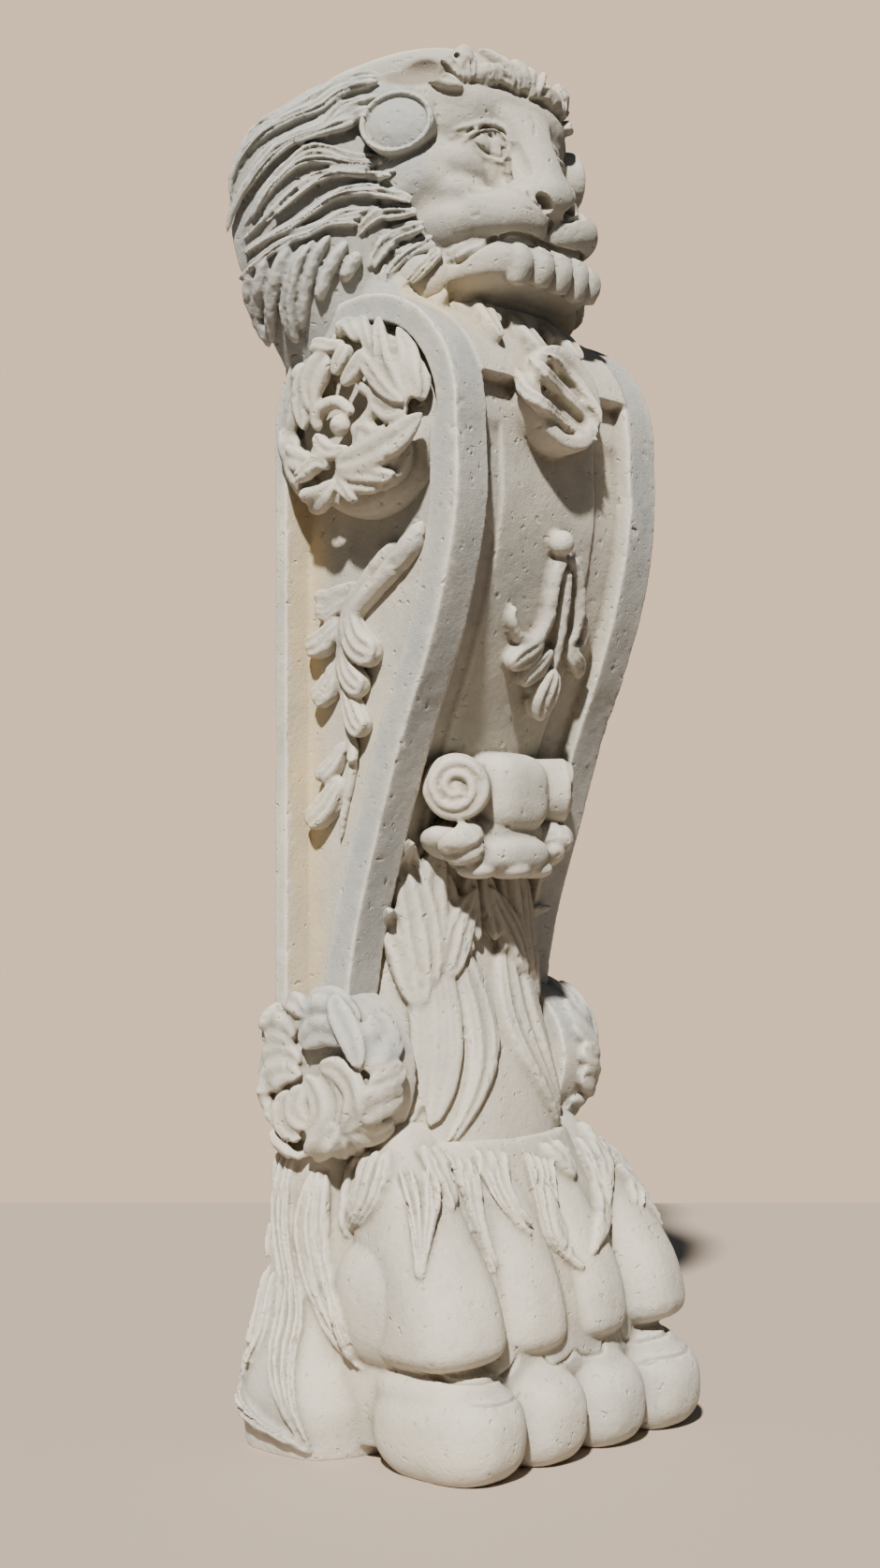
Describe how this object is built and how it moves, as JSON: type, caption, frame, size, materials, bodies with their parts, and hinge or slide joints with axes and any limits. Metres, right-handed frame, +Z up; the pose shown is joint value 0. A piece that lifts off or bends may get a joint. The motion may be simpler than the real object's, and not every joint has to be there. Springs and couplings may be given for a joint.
{
  "type": "cast stone corbel",
  "caption": "Cast stone corbel: a scrolled console between rosettes, with a lion's head and mane above and a lion's paw below, flat at back and top to bear a load.",
  "frame": {"origin": "on the ground, under the middle of the casting's bounding box", "axes": "+Z up; -Y forward, the way the lion faces; +Y toward the wall behind the flat back; X across, the casting mirror-symmetric about X = 0 but for one loss at the crown"},
  "size_m": [0.4124, 0.2746, 1.248],
  "materials": {
    "lion_corbel": "weathered cast stone, matt and fine-grained, grey on the upper faces and cream in the recesses"
  },
  "bodies": {
    "root": {"lion_corbel": "lion_corbel"}
  },
  "joints": []
}
